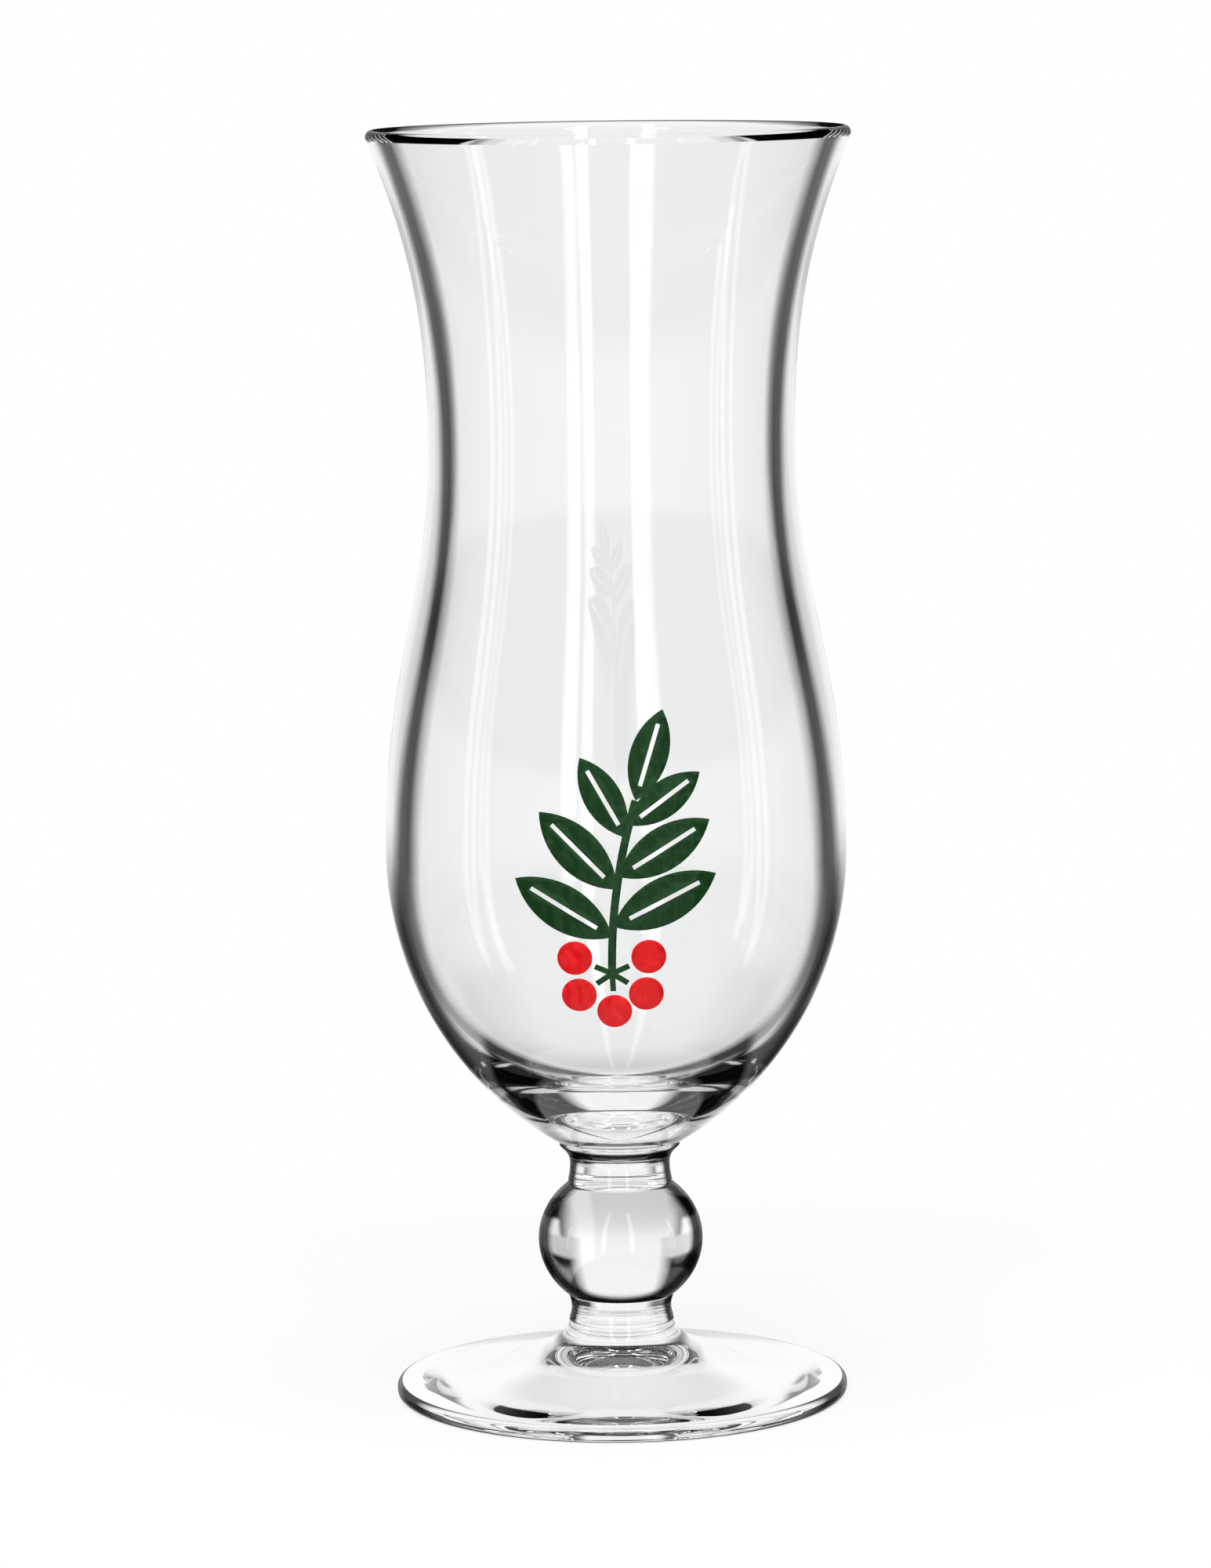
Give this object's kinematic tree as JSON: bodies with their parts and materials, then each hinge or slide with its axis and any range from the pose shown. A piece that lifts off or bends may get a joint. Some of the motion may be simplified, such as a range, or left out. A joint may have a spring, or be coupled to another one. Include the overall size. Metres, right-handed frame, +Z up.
{
  "type": "hurricane glass",
  "caption": "Footed hurricane glass: a tall flared bowl with a drawn-in waist and full belly on a ball stem and round foot, with a printed leaf-and-berry sprig.",
  "frame": {"origin": "middle of the standing ring under the foot, on the surface that the glass stands on", "axes": "+Z up along the axis of the glass, -Y towards the printed front, +X to the right of the print"},
  "size_m": [0.079, 0.079, 0.21],
  "materials": {
    "clear_glass": "fire-polished clear soda-lime glass, smooth and glossy",
    "green_enamel": "opaque fired enamel print, dark green, satin gloss",
    "red_enamel": "opaque fired enamel print, bright red, satin gloss"
  },
  "bodies": {
    "root": {"bowl": "clear_glass", "upper_neck": "clear_glass", "ball_knop": "clear_glass", "lower_neck": "clear_glass", "foot": "clear_glass", "green_print": "green_enamel", "red_print": "red_enamel"}
  },
  "joints": []
}
